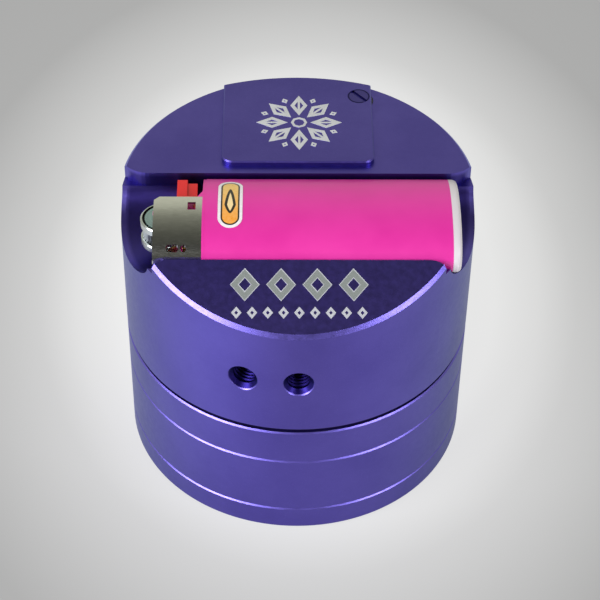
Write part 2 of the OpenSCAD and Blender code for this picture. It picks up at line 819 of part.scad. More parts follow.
module lighter_hood() {
    out_a = lighter_a - hood_inset;
    out_b = lighter_b - hood_inset;
    window = [1.5, 2];
    window_in = [1.2, 1.6];
    vent_y = slot_y - 0.85 * lighter_a;
    vent_x = flange_x - 3.3;
    vent_land = 0.35;
    outer_vent_x = vent_x - 2 * vent_r - vent_land;
    color(steel)
        difference() {
            oval_bar(hood_x, flange_x, out_a, out_b);
            oval_bar(hood_x - over, flange_x + over, out_a - hood_t, out_b - hood_t);
            translate([hood_x - over, hood_y, slot_z - lighter_t])
                cube([hood_l + 2 * over, lighter_w, 2 * lighter_t]);
            translate([hood_x, hood_y, slot_z - lighter_t])
                rotate([0, 0, 45])
                    translate([-hood_corner / 2, -hood_corner / 2, 0])
                        cube([hood_corner, hood_corner, 2 * lighter_t]);
            translate([flange_x - window_in[0] - window[0], hood_y - window_in[1] - window[1], slot_z])
                cube([window[0], window[1], lighter_t]);
            for (x = [vent_x, outer_vent_x, outer_vent_x - vent_l])
                translate([x, vent_y, slot_z])
                    cylinder(h = lighter_t, r = vent_r);
            translate([outer_vent_x - vent_l, vent_y - vent_r, slot_z])
                cube([vent_l, 2 * vent_r, lighter_t]);
        }
}

module lighter_fork() {
    notch = jet_r + notch_gap;
    color([0.85, 0.08, 0.1]) {
        intersection() {
            translate([pad_x0, pad_y0, slot_z - arm_z])
                cube([pad_t, pad_y1 - pad_y0, 2 * arm_z]);
            oval_bar(pad_x0 - over, pad_x1 + over, lighter_a - pad_inset, lighter_b - pad_inset);
        }
        translate([pad_x1 - eps, pad_y0, slot_z - web_h / 2])
            cube([pad_out - web_gap + eps, pad_y1 - web_in - pad_y0, web_h]);
        for (side = [-1, 1])
            translate([0, 0, slot_z + side * (arm_z - arm_w / 2) - arm_w / 2])
                linear_extrude(arm_w)
                    polygon([
                        [arm_x0, fork_tip_y], [arm_x0 + arm_t, fork_tip_y],
                        [arm_x0 + arm_t, pad_y0 + arm_root], [pad_x1 - eps, pad_y0 + arm_root],
                        [pad_x1 - eps, pad_y0], [arm_x0, fork_y]]);
        difference() {
            translate([arm_x0, fork_tip_y, slot_z - arm_z])
                cube([arm_t, arm_root, 2 * arm_z]);
            translate([arm_x0 - over, fork_tip_y - over, slot_z - notch])
                cube([arm_t + 2 * over, arm_root + 2 * over, 2 * notch]);
        }
        for (side = [-1, 1])
            translate([fork_x, fork_y, slot_z + side * (arm_z + ear_t / 2)])
                cylinder(h = ear_t + 2 * arm_gap, r = trunnion_r, center = true);
    }
}

module lighter_jet() {
    bore_r = 0.4;
    color([0.78, 0.6, 0.25])
        difference() {
            union() {
                bar_x(flange_x - jet_l, tank_x0 + plug_l, jet_y, jet_r);
                bar_x(jet_collar_x, jet_collar_x + jet_collar_t, jet_y, jet_collar_r);
            }
            bar_x(flange_x - jet_l - over, tank_x0, jet_y, bore_r);
        }
}

module toothed_plan(tip_r, tooth, teeth) {
    polygon([for (i = [0:2 * teeth - 1])
        let (r = i % 2 == 0 ? tip_r : tip_r - tooth, a = i * 180 / teeth)
        [r * cos(a), r * sin(a)]]);
}

module lighter_spark_wheel() {
    color([0.25, 0.25, 0.27])
        translate([wheel_x, wheel_y, slot_z - spark_t / 2])
            difference() {
                linear_extrude(spark_t)
                    toothed_plan(spark_r, spark_tooth, spark_teeth);
                translate([0, 0, -over])
                    cylinder(h = spark_t + 2 * over, r = axle_r + seat_gap);
            }
}

// Thumb wheel with its outer face up: smooth rim, recess and serrated hub.
module thumb_wheel() {
    rim_r = thumb_r - thumb_rim;
    hub_tooth = 0.2;
    hub_teeth = 40;
    hub_drop = 0.1;
    difference() {
        union() {
            rotate_extrude()
                polygon([
                    [0, 0], [thumb_r - thumb_bevel, 0], [thumb_r, thumb_bevel],
                    [thumb_r, thumb_t - thumb_bevel], [thumb_r - thumb_bevel, thumb_t],
                    [rim_r, thumb_t], [rim_r, thumb_t - thumb_recess], [0, thumb_t - thumb_recess]]);
            linear_extrude(thumb_t - hub_drop)
                toothed_plan(hub_r, hub_tooth, hub_teeth);
        }
        translate([0, 0, -over])
            cylinder(h = thumb_t + 2 * over, r = axle_r + seat_gap);
    }
}

module lighter_thumb_wheels() {
    color(steel)
        translate([wheel_x, wheel_y, slot_z])
            for (turn = [0, 180])
                rotate([turn, 0, 0])
                    translate([0, 0, spark_t / 2])
                        thumb_wheel();
}

module lighter_axle() {
    color(steel)
        translate([wheel_x, wheel_y, slot_z])
            cylinder(h = ear_span, r = axle_r, center = true);
}

module lighter_flint() {
    color([0.3, 0.3, 0.3])
        bar_x(flint_x, flint_end_x, wheel_y, flint_r);
}

// Coil spring behind the flint, swept along its helix.
module lighter_flint_spring() {
    coil_r = flint_r - spring_wire_r - spring_gap;
    sides = 8;
    steps = 14;
    rings = spring_turns * steps;
    free_l = spring_l - 2 * (spring_wire_r + spring_gap);
    slant = atan(free_l / spring_turns / (2 * PI * coil_r));
    points = [for (i = [0:rings], j = [0:sides - 1])
        let (
            t = i * 360 / steps,
            b = j * 360 / sides,
            r = coil_r + spring_wire_r * cos(b),
            x = free_l * i / rings + spring_wire_r * sin(b) * cos(slant),
            s = -spring_wire_r * sin(b) * sin(slant)
        )
        [x, r * cos(t) - s * sin(t), r * sin(t) + s * cos(t)]];
    walls = [for (i = [0:rings - 1], j = [0:sides - 1], half = [0, 1])
        let (k = (j + 1) % sides, low = i * sides, high = low + sides)
        half == 0 ? [low + j, low + k, high + k] : [low + j, high + k, high + j]];
    color(steel)
        translate([flint_end_x + spring_wire_r + spring_gap, wheel_y, slot_z])
            polyhedron(points, concat(
                [[for (j = [sides - 1:-1:0]) j]], walls, [[for (j = [0:sides - 1]) rings * sides + j]]));
}

tray();
sifter_ring();
screen();
screen_clamp();
chamber();
chamber_magnet();
glide_ring();
lid_magnet();
lid();
lid_front();
lid_skirt();
tooth_plate();
swivel_cover();
pivot_screw();
pivot_washer();
lighter_tank();
lighter_base();
lighter_head();
lighter_hood();
lighter_fork();
lighter_jet();
lighter_spark_wheel();
lighter_thumb_wheels();
lighter_axle();
lighter_flint();
lighter_flint_spring();
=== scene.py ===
import math

import bpy
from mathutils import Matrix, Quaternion, Vector


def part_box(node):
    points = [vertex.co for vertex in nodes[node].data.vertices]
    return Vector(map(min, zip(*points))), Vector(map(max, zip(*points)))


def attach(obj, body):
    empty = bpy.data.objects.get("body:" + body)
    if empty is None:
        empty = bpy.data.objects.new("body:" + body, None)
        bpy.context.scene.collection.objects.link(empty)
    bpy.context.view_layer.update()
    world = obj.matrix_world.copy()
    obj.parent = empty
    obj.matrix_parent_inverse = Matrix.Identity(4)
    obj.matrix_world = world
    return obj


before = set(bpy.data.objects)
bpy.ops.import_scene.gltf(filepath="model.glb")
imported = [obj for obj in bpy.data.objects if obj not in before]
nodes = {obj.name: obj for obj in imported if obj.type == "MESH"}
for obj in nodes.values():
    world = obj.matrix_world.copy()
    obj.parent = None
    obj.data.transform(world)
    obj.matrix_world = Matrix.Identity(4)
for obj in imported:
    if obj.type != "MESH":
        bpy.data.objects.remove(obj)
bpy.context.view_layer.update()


# -------------------------------------------------------- Tray
# The lowest stage: a shallow cup turned from aluminium bar, bead blasted and dyed violet in the
# anodising bath. Its frosted skin has a fine grain, and the cut edges stay paler than the walls.

VIOLET_DYE = (0.118, 0.088, 0.455, 1)
VIOLET_EDGE = (0.18, 0.142, 0.64, 1)
# Painted shade, multiplied into the slot and the pocket, and darker into the sockets.
RECESS_PAINTED_SHADE = (0.42, 0.38, 0.52, 1)
SOCKET_PAINTED_SHADE = (0.14, 0.12, 0.28, 1)
ANODISED_TINT = (0.78, 0.92, 0.84, 1)
BLAST_DEPTH = 0.000012
WALL_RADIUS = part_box("tray")[1].x
RIM_INSET = (0.0008, 0.0009)
RIM_SLANT_FROM = (0.25, 0.45)
RIM_SLANT_TO = (0.86, 0.91)
OUTLINE_INSET = (0.00016, 0.00022)
LID_TOP = 0.060
SLOPE_ANGLE = math.radians(21.5)
SLOPE_RATE = math.tan(SLOPE_ANGLE)
SLOPE_AT_AXIS = 0.067
RECESS_INSET = (0.0008, 0.0016)
RECESS_DEPTH = (0.0003, 0.001)
RECESS_FLOOR = (0.047, 0.048)
SOCKET_HEIGHT = 0.0414
SOCKET_REACH = (0.0034, 0.0036)
SOCKET_INSET = (0.00005, 0.0002)


def add_step(tree, kind, values=None, **settings):
    """Adds one node of a finish, with its socket values or links by name or number."""
    step = tree.nodes.new(kind)
    for key, value in settings.items():
        setattr(step, key, value)
    for socket, value in (values or {}).items():
        if isinstance(value, bpy.types.NodeSocket):
            tree.links.new(value, step.inputs[socket])
        else:
            step.inputs[socket].default_value = value
    return step


def start_group(name, inputs, outputs):
    """Starts a shader node group with its named inputs and outputs."""
    group = bpy.data.node_groups.new(name, "ShaderNodeTree")
    for label, kind, value in inputs:
        group.interface.new_socket(label, in_out="INPUT", socket_type=kind).default_value = value
    for label, kind in outputs:
        group.interface.new_socket(label, in_out="OUTPUT", socket_type=kind)
    return group, group.nodes.new("NodeGroupInput"), group.nodes.new("NodeGroupOutput")


def place_group(tree, group, values=None):
    """Places a shader node group in a material with its own values."""
    return add_step(tree, "ShaderNodeGroup", values, node_tree=group)


def blend_colours(tree, factor, first, second, how="MIX"):
    """Blends two colours of a finish by a factor and returns the colour's socket."""
    return add_step(tree, "ShaderNodeMix", {0: factor, 6: first, 7: second},
                    data_type="RGBA", blend_type=how).outputs[2]


def count_with(tree, how, *values):
    """Adds one Math node and returns its value's socket."""
    return add_step(tree, "ShaderNodeMath", dict(enumerate(values)), operation=how).outputs[0]


def fade_between(tree, value, low, high, to_low=0.0, to_high=1.0):
    """Maps a value from low..high to to_low..to_high, held at both ends."""
    return add_step(tree, "ShaderNodeMapRange", {
        "Value": value, "From Min": low, "From Max": high,
        "To Min": to_low, "To Max": to_high}).outputs["Result"]


def object_place(tree):
    """Returns the place on the piece in the shared frame."""
    return add_step(tree, "ShaderNodeTexCoord").outputs["Object"]


def split_place(tree, place):
    """Returns the three coordinates of a place as sockets."""
    return add_step(tree, "ShaderNodeSeparateXYZ", {0: place}).outputs[:]


def spin_radius(tree, x, y):
    """Returns the distance from the turning axis."""
    flat = add_step(tree, "ShaderNodeCombineXYZ", {0: x, 1: y})
    return add_step(tree, "ShaderNodeVectorMath", {0: flat.outputs[0]},
                    operation="LENGTH").outputs["Value"]


def make_noise(tree, place, scale, detail=2.0, roughness=0.5):
    """Returns the value of a noise at a place."""
    return add_step(tree, "ShaderNodeTexNoise", {
        "Vector": place, "Scale": scale, "Detail": detail, "Roughness": roughness}).outputs[0]


def build_blasted_skin():
    """Bead-blasted and dyed metal: a fine frost of dents, cloudy dye and small bright specks."""
    group, given, made = start_group("blasted_skin", [
        ("Dye", "NodeSocketColor", VIOLET_DYE), ("Speck", "NodeSocketColor", VIOLET_EDGE),
        ("Grain", "NodeSocketFloat", 4200.0), ("Roughness", "NodeSocketFloat", 0.34)], [
        ("Color", "NodeSocketColor"), ("Roughness", "NodeSocketFloat"),
        ("Height", "NodeSocketFloat")])
    place = object_place(group)
    dye = given.outputs["Dye"]
    grain = make_noise(group, place, given.outputs["Grain"], roughness=0.6)
    cloud = make_noise(group, place, scale=75.0, detail=3.0)
    mottle = make_noise(group, place, scale=900.0)
    dark = blend_colours(group, 1.0, dye, (0.84, 0.82, 0.9, 1), "MULTIPLY")
    dyed = blend_colours(group, fade_between(group, cloud, 0.35, 0.65), dark, dye)
    specks = fade_between(group, grain, 0.58, 0.8, 0.0, 0.34)
    colour = blend_colours(group, specks, dyed, given.outputs["Speck"])
    frost = fade_between(group, mottle, 0.3, 0.7, -0.035, 0.035)
    frosted = count_with(group, "ADD", given.outputs["Roughness"], frost)
    group.links.new(colour, made.inputs["Color"])
    group.links.new(frosted, made.inputs["Roughness"])
    group.links.new(grain, made.inputs["Height"])
    return group


def build_cut_rims():
    """Mask of the narrow turned chamfers around the wall and the thin outlines of the sockets."""
    group, given, made = start_group("cut_rims", [
        ("Wall radius", "NodeSocketFloat", WALL_RADIUS)], [("Mask", "NodeSocketFloat")])
    coords = add_step(group, "ShaderNodeTexCoord")
    x, y, z = split_place(group, coords.outputs["Object"])
    inset = count_with(group, "SUBTRACT", given.outputs["Wall radius"], spin_radius(group, x, y))
    near = fade_between(group, inset, *RIM_INSET, 1.0, 0.0)
    slant = count_with(group, "ABSOLUTE", split_place(group, coords.outputs["Normal"])[2])
    slanting = count_with(group, "MULTIPLY", fade_between(group, slant, *RIM_SLANT_FROM),
                          fade_between(group, slant, *RIM_SLANT_TO, 1.0, 0.0))
    level = count_with(group, "ABSOLUTE", count_with(group, "SUBTRACT", z, SOCKET_HEIGHT))
    away = fade_between(group, level, *SOCKET_REACH)
    outline = fade_between(group, inset, *OUTLINE_INSET, 1.0, 0.0)
    allowed = count_with(group, "MAXIMUM", away, outline)
    rims = count_with(group, "MULTIPLY", near, slanting)
    group.links.new(count_with(group, "MULTIPLY", rims, allowed), made.inputs["Mask"])
    return group


def build_painted_recess_shade():
    """Masks of the places that get painted shade: the slot with the pocket, and the sockets."""
    group, given, made = start_group("painted_recess_shade", [
        ("Wall radius", "NodeSocketFloat", WALL_RADIUS)], [
        ("Mask", "NodeSocketFloat"), ("Socket", "NodeSocketFloat")])
    x, y, z = split_place(group, object_place(group))
    inset = count_with(group, "SUBTRACT", given.outputs["Wall radius"], spin_radius(group, x, y))
    slope = count_with(group, "MULTIPLY_ADD", y, SLOPE_RATE, SLOPE_AT_AXIS)
    depth = count_with(group, "SUBTRACT", count_with(group, "MINIMUM", slope, LID_TOP), z)
    inside = count_with(group, "MULTIPLY", fade_between(group, inset, *RECESS_INSET),
                        fade_between(group, depth, *RECESS_DEPTH))
    slot = count_with(group, "MULTIPLY", inside, fade_between(group, z, *RECESS_FLOOR))
    level = count_with(group, "ABSOLUTE", count_with(group, "SUBTRACT", z, SOCKET_HEIGHT))
    socket = count_with(group, "MULTIPLY", fade_between(group, inset, *SOCKET_INSET),
                        fade_between(group, level, *SOCKET_REACH, 1.0, 0.0))
    group.links.new(slot, made.inputs["Mask"])
    group.links.new(socket, made.inputs["Socket"])
    return group


blasted_skin = build_blasted_skin()
cut_rims = build_cut_rims()
painted_recess_shade = build_painted_recess_shade()


def start_finish(name, **fixed):
    """Starts a material and returns it with its node tree and its shader."""
    finish = bpy.data.materials.new(name)
    finish.use_nodes = True
    shader = finish.node_tree.nodes["Principled BSDF"]
    for socket, value in fixed.items():
        shader.inputs[socket.replace("_", " ")].default_value = value
    return finish, finish.node_tree, shader


def raise_grain(tree, shader, height, depth):
    """Feeds a height to the shader's normal through one Bump node."""
    bump = add_step(tree, "ShaderNodeBump", {"Strength": 1.0, "Distance": depth, "Height": height})
    tree.links.new(bump.outputs[0], shader.inputs["Normal"])


def lay_skin(tree, shader, skin, depth):
    """Feeds a skin group's colour, roughness and height to the shader."""
    tree.links.new(skin.outputs["Color"], shader.inputs["Base Color"])
    tree.links.new(skin.outputs["Roughness"], shader.inputs["Roughness"])
    raise_grain(tree, shader, skin.outputs["Height"], depth)


def dress(finish, *names):
    """Gives CAD nodes their finish."""
    for name in names:
        for slot in nodes[name].material_slots:
            slot.material = finish


def make_anodised(name, dye=VIOLET_DYE, edge=VIOLET_EDGE, roughness=0.40):
    """The violet blasted finish, with paler cut rims and painted shade in recesses and sockets."""
    finish, tree, shader = start_finish(name, Metallic=1.0, Specular_Tint=ANODISED_TINT,
                                        Coat_Roughness=0.3, Coat_IOR=1.5)
    skin = place_group(tree, blasted_skin, {"Dye": dye, "Speck": edge, "Roughness": roughness})
    rims = place_group(tree, cut_rims)
    recess_shade = place_group(tree, painted_recess_shade)
    lay_skin(tree, shader, skin, BLAST_DEPTH)
    plain = skin.outputs["Color"]
    # Painted shade: the slot and the pocket are darkened where shade falls in them.
    painted_recess_colour = blend_colours(tree, 1.0, plain, RECESS_PAINTED_SHADE, "MULTIPLY")
    dyed = blend_colours(tree, recess_shade.outputs["Mask"], plain, painted_recess_colour)
    # Painted shade: the sockets are darkened further, where shade falls inside the holes.
    painted_socket_colour = blend_colours(tree, 1.0, plain, SOCKET_PAINTED_SHADE, "MULTIPLY")
    dyed = blend_colours(tree, recess_shade.outputs["Socket"], dyed, painted_socket_colour)
    tree.links.new(blend_colours(tree, rims.outputs["Mask"], dyed, edge),
                   shader.inputs["Base Color"])
    coat = fade_between(tree, recess_shade.outputs["Socket"], 0.0, 1.0, 0.25, 0.04)
    tree.links.new(coat, shader.inputs["Coat Weight"])
    return finish


anodised_stage = make_anodised("violet_anodised_stage")
dress(anodised_stage, "tray")


# -------------------------------------------------------- Sifter ring, screen and clamp
# The ring is turned and dyed like the tray. The screen is woven steel wire cloth punched to a disc,
# and the clamp, a plain turned steel ring, is pressed in over its edge.

dress(anodised_stage, "sifter_ring")

WIRE_PITCH = 0.00042
WIRE_SHARE = 0.55
WIRE_DEPTH = 0.00006
RING_EDGE = 0.00003


def build_turned_grooves():
    """Fine grooves left by the lathe: rings of light and dark around the piece's own axis."""
    group, given, made = start_group("turned_grooves", [
        ("Place", "NodeSocketVector", (0.0, 0.0, 0.0)),
        ("Metal", "NodeSocketColor", (0.6, 0.6, 0.6, 1)),
        ("Pitch", "NodeSocketFloat", 9000.0), ("Roughness", "NodeSocketFloat", 0.3)], [
        ("Color", "NodeSocketColor"), ("Roughness", "NodeSocketFloat"),
        ("Height", "NodeSocketFloat")])
    metal = given.outputs["Metal"]
    x, y, z = split_place(group, given.outputs["Place"])
    ring = add_step(group, "ShaderNodeCombineXYZ", {0: spin_radius(group, x, y), 1: z}).outputs[0]
    groove = make_noise(group, ring, given.outputs["Pitch"], roughness=0.6)
    stain = make_noise(group, given.outputs["Place"], scale=350.0, detail=3.0)
    dull = blend_colours(group, 1.0, metal, (0.72, 0.72, 0.74, 1), "MULTIPLY")
    grooved = blend_colours(group, fade_between(group, groove, 0.35, 0.6), dull, metal)
    stained = fade_between(group, stain, 0.5, 0.75, 0.0, 0.35)
    group.links.new(blend_colours(group, stained, grooved, dull), made.inputs["Color"])
    worn = fade_between(group, stain, 0.3, 0.7, -0.05, 0.07)
    group.links.new(count_with(group, "ADD", given.outputs["Roughness"], worn),
                    made.inputs["Roughness"])
    group.links.new(groove, made.inputs["Height"])
    return group


turned_grooves = build_turned_grooves()


def make_turned(name, metal, roughness, centre=(0.0, 0.0, 0.0), tilt=(0.0, 0.0, 0.0),
                pitch=9000.0, rings=()):
    """Metal turned around an axis through centre, tilted from upright by tilt, with rings."""
    finish, tree, shader = start_finish(name, Metallic=1.0)
    moved = add_step(tree, "ShaderNodeVectorMath", {0: object_place(tree), 1: centre},
                     operation="SUBTRACT").outputs[0]
    place = add_step(tree, "ShaderNodeMapping", {"Vector": moved, "Rotation": tilt}).outputs[0]
    skin = place_group(tree, turned_grooves, {
        "Place": place, "Metal": metal, "Pitch": pitch, "Roughness": roughness})
    lay_skin(tree, shader, skin, depth=0.000004)
    colour = skin.outputs["Color"]
    radius = spin_radius(tree, *split_place(tree, place)[:2])
    for inner, outer, shade in rings:
        ring = count_with(tree, "MULTIPLY", fade_between(tree, radius, inner - RING_EDGE, inner),
                          fade_between(tree, radius, outer, outer + RING_EDGE, 1.0, 0.0))
        shaded = blend_colours(tree, 1.0, colour, shade, "MULTIPLY")
        colour = blend_colours(tree, ring, colour, shaded)
    tree.links.new(colour, shader.inputs["Base Color"])
    return finish


def make_wire_cloth():
    """Plain-woven wires: each crosses over and under its neighbours, with open squares between."""
    finish, tree, shader = start_finish("woven_wire_cloth", Metallic=1.0, Roughness=0.32)
    x, y, z = split_place(tree, object_place(tree))
    wires = []
    for along, across in ((x, y), (y, x)):
        cell = count_with(tree, "DIVIDE", across, WIRE_PITCH)
        part = count_with(tree, "FRACT", cell)
        off = count_with(tree, "ABSOLUTE", count_with(tree, "SUBTRACT", part, 0.5))
        round_wire = fade_between(tree, off, 0.0, WIRE_SHARE / 2, 1.0, 0.0)
        turn = count_with(tree, "MULTIPLY", count_with(tree, "FLOOR", cell), math.pi)
        run = count_with(tree, "MULTIPLY", along, math.pi / WIRE_PITCH)
        wave = count_with(tree, "SINE", count_with(tree, "ADD", run, turn))
        over = fade_between(tree, wave, -1.0, 1.0, 0.25, 1.0)
        wires.append(count_with(tree, "MULTIPLY", round_wire, over))
    height = count_with(tree, "MAXIMUM", *wires)
    dust = make_noise(tree, object_place(tree), scale=700.0, detail=3.0)
    bright = blend_colours(tree, fade_between(tree, dust, 0.3, 0.7),
                           (0.42, 0.42, 0.4, 1), (0.62, 0.62, 0.6, 1))
    tree.links.new(bright, shader.inputs["Base Color"])
    tree.links.new(fade_between(tree, height, 0.02, 0.06), shader.inputs["Alpha"])
    raise_grain(tree, shader, height, WIRE_DEPTH)
    return finish


dress(make_wire_cloth(), "screen")
turned_steel = make_turned("turned_steel", (0.55, 0.55, 0.54, 1), roughness=0.3)
dress(turned_steel, "screen_clamp")


# -------------------------------------------------------- Chamber, its magnet and the glide ring
# The middle stage with the lower teeth, dyed like the others. A nickel-plated disc magnet sits in
# its centre post, and a dark low-friction polymer ring lies in its top seat under the lid.

dress(anodised_stage, "chamber")


def build_moulded_skin():
    """Injection-moulded plastic: clouded colour, a slight orange peel and faint flow marks."""
    group, given, made = start_group("moulded_skin", [
        ("Colour", "NodeSocketColor", (0.5, 0.5, 0.5, 1)),
        ("Depth colour", "NodeSocketColor", (0.4, 0.4, 0.4, 1)),
        ("Peel", "NodeSocketFloat", 1400.0), ("Roughness", "NodeSocketFloat", 0.3)], [
        ("Color", "NodeSocketColor"), ("Roughness", "NodeSocketFloat"),
        ("Height", "NodeSocketFloat")])
    place = object_place(group)
    peel = make_noise(group, place, given.outputs["Peel"])
    cloud = make_noise(group, place, scale=110.0, detail=3.0)
    clouded = blend_colours(group, fade_between(group, cloud, 0.35, 0.65),
                            given.outputs["Depth colour"], given.outputs["Colour"])
    rubbed = fade_between(group, cloud, 0.3, 0.7, -0.04, 0.05)
    group.links.new(clouded, made.inputs["Color"])
    group.links.new(count_with(group, "ADD", given.outputs["Roughness"], rubbed),
                    made.inputs["Roughness"])
    group.links.new(peel, made.inputs["Height"])
    return group


moulded_skin = build_moulded_skin()


def make_moulded(name, colour, depth_colour, roughness, peel=1400.0, depth=0.000006, **fixed):
    """A moulded plastic finish."""
    finish, tree, shader = start_finish(name, **fixed)
    skin = place_group(tree, moulded_skin, {
        "Colour": colour, "Depth colour": depth_colour, "Peel": peel, "Roughness": roughness})
    lay_skin(tree, shader, skin, depth)
    return finish


dress(make_moulded("dark_polymer", (0.012, 0.011, 0.03, 1), (0.007, 0.006, 0.018, 1),
                   roughness=0.5, peel=2600.0), "glide_ring")
nickel = make_turned("nickel_plate", (0.62, 0.61, 0.58, 1), roughness=0.14, pitch=2500.0)
dress(nickel, "chamber_magnet", "lid_magnet")


# -------------------------------------------------------- Lid and its engraved band
# The thick top stage, milled for the slot, pocket and sockets, then blasted and dyed. A row of
# lozenges and a chain of small ones are cut through the dye on its sloped front, to bare metal.

dress(anodised_stage, "lid", "lid_front", "lid_skirt", "tooth_plate")

ENGRAVING = 0.00006
MARK_SIZE = (0.0054, 0.0066)
MARK_STROKE = 0.00125
MARK_COUNT = 4
MARK_PITCH = 0.0066
MARK_Y = -0.0242
MARK_RIM = 0.00022
LINK_SIZE = (0.0019, 0.0024)
LINK_STROKE = 0.00048
LINK_COUNT = 9
LINK_PITCH = 0.00285
LINK_Y = -0.0294


def start_sheet(name, sides, size):
    """Adds a flat face with that many sides at its full size and enters edit mode."""
    bpy.ops.object.select_all(action="DESELECT")
    bpy.ops.mesh.primitive_circle_add(vertices=sides, radius=0.5, fill_type="NGON")
    sheet = bpy.context.object
    sheet.name = name
    bpy.ops.object.mode_set(mode="EDIT")
    bpy.ops.transform.resize(value=(size[0], size[1], 1))
    return sheet


def lift_frame(sheet, rim=0.0):
    """Raises a flat frame, and with a rim sinks the middle of its top between raised edges."""
    bpy.ops.mesh.select_all(action="SELECT")
    bpy.ops.mesh.extrude_region_move(TRANSFORM_OT_translate={"value": (0, 0, ENGRAVING)})
    if rim:
        bpy.ops.mesh.inset(thickness=rim)
        bpy.ops.transform.translate(value=(0, 0, -ENGRAVING / 2))
    bpy.ops.mesh.select_all(action="SELECT")
    bpy.ops.mesh.normals_make_consistent(inside=False)
    bpy.ops.object.mode_set(mode="OBJECT")


def make_frame_of(name, sides, size, line, rim=0.0):
    """One flat frame with that many sides."""
    ring = start_sheet(name, sides, size)
    bpy.ops.mesh.inset(thickness=line)
    bpy.ops.mesh.delete(type="FACE")
    lift_frame(ring, rim)
    return ring


def copy_piece(piece, place, turn=0.0):
    """Copies a piece with its own mesh to a place, turned about its own upright axis."""
    copy = piece.copy()
    copy.data = piece.data.copy()
    bpy.context.scene.collection.objects.link(copy)
    copy.location = place
    copy.rotation_euler = (0, 0, turn)
    return copy


def join_pieces(name, pieces, place, tilt=0.0):
    """Joins pieces into one, tilts it about X, moves it and applies its place."""
    bpy.ops.object.select_all(action="DESELECT")
    for piece in pieces:
        piece.select_set(True)
        bpy.context.view_layer.objects.active = piece
    bpy.ops.object.transform_apply(location=True, rotation=True, scale=True)
    bpy.ops.object.join()
    joined = bpy.context.object
    joined.name = name
    joined.data.name = name
    joined.rotation_euler = (tilt, 0, 0)
    joined.location = place
    bpy.ops.object.transform_apply(location=True, rotation=True, scale=True)
    return joined


def make_lozenges(name, size, stroke, count, pitch, y, rim):
    """A row of lozenge frames along X, laid on the sloped front at a distance y."""
    first = make_frame_of(name, 4, size, stroke, rim)
    start = -pitch * (count - 1) / 2
    row = [copy_piece(first, (start + pitch * index, 0, 0)) for index in range(1, count)]
    first.location.x = start
    height = SLOPE_AT_AXIS + SLOPE_RATE * y
    return join_pieces(name, [first] + row, (0, y, height - ENGRAVING / 3), SLOPE_ANGLE)


def make_bared_metal(name, colour, dull, roughness, sunk=None):
    """Bare metal where the dye was cut away: pale, matt, scratched, and greyer where it is sunk."""
    finish, tree, shader = start_finish(name, Metallic=0.4)
    place = object_place(tree)
    stretched = add_step(tree, "ShaderNodeMapping", {
        "Vector": place, "Scale": (1.0, 7.0, 7.0)}).outputs[0]
    scratch = make_noise(tree, stretched, scale=2600.0, detail=3.0, roughness=0.6)
    cloud = make_noise(tree, place, scale=500.0)
    tone = count_with(tree, "ADD", fade_between(tree, scratch, 0.35, 0.65, 0.0, 0.6),
                      fade_between(tree, cloud, 0.35, 0.65, 0.0, 0.4))
    bared = blend_colours(tree, tone, dull, colour)
    if sunk:
        x, y, z = split_place(tree, place)
        slope = count_with(tree, "MULTIPLY_ADD", y, SLOPE_RATE, SLOPE_AT_AXIS)
        height = count_with(tree, "SUBTRACT", z, slope)
        raised = fade_between(tree, height, 0.35 * ENGRAVING, 0.5 * ENGRAVING)
        bared = blend_colours(tree, raised, sunk, bared)
    tree.links.new(bared, shader.inputs["Base Color"])
    tree.links.new(fade_between(tree, scratch, 0.3, 0.7, roughness - 0.08, roughness + 0.08),
                   shader.inputs["Roughness"])
    raise_grain(tree, shader, scratch, depth=0.000008)
    return finish


bared_silver = make_bared_metal("bared_silver", (0.76, 0.77, 0.84, 1), (0.6, 0.61, 0.66, 1),
                                roughness=0.5)
slope_silver = make_bared_metal("slope_silver", (0.76, 0.77, 0.86, 1), (0.62, 0.63, 0.70, 1),
                                roughness=0.45, sunk=(0.33, 0.36, 0.36, 1))

for row_shape in (
        ("slope_lozenges", MARK_SIZE, MARK_STROKE, MARK_COUNT, MARK_PITCH, MARK_Y, MARK_RIM),
        ("slope_chain", LINK_SIZE, LINK_STROKE, LINK_COUNT, LINK_PITCH, LINK_Y, 0.0)):
    row = make_lozenges(*row_shape)
    row.data.materials.append(slope_silver)
    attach(row, "lid")


# -------------------------------------------------------- Swivel cover, rosette, screw and washer
# A flat plate that turns on one flush screw over the pocket, with a thin black nylon washer under
# it. It is dyed with the lid, and an eight-petalled rosette is cut through its dye.

dress(make_anodised("violet_anodised_cover", (0.112, 0.084, 0.43, 1)), "swivel_cover")

PETAL_SIZE = (0.0034, 0.0062)
PETAL_LINE = 0.0005
PETAL_RIB = 0.00022
PETAL_RADIUS = 0.0053
PETAL_COUNT = 8
BUD_SIZE = (0.0013, 0.0016)
BUD_LINE = 0.00036
BUD_RADIUS = 0.0073
HUB_SIZE = (0.0032, 0.0032)
HUB_LINE = 0.0005
ROSETTE_PLACE = (0.00025, 0.018)

cover_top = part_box("swivel_cover")[1].z


def make_petal():
    """A lozenge frame with a rib along its middle."""
    petal = start_sheet("petal", 4, PETAL_SIZE)
    bpy.ops.mesh.inset(thickness=PETAL_LINE)
    bpy.ops.mesh.quads_convert_to_tris(quad_method="LONGEST_DIAGONAL")
    bpy.ops.mesh.inset(thickness=PETAL_RIB, use_individual=True)
    bpy.ops.mesh.delete(type="FACE")
    lift_frame(petal)
    return petal


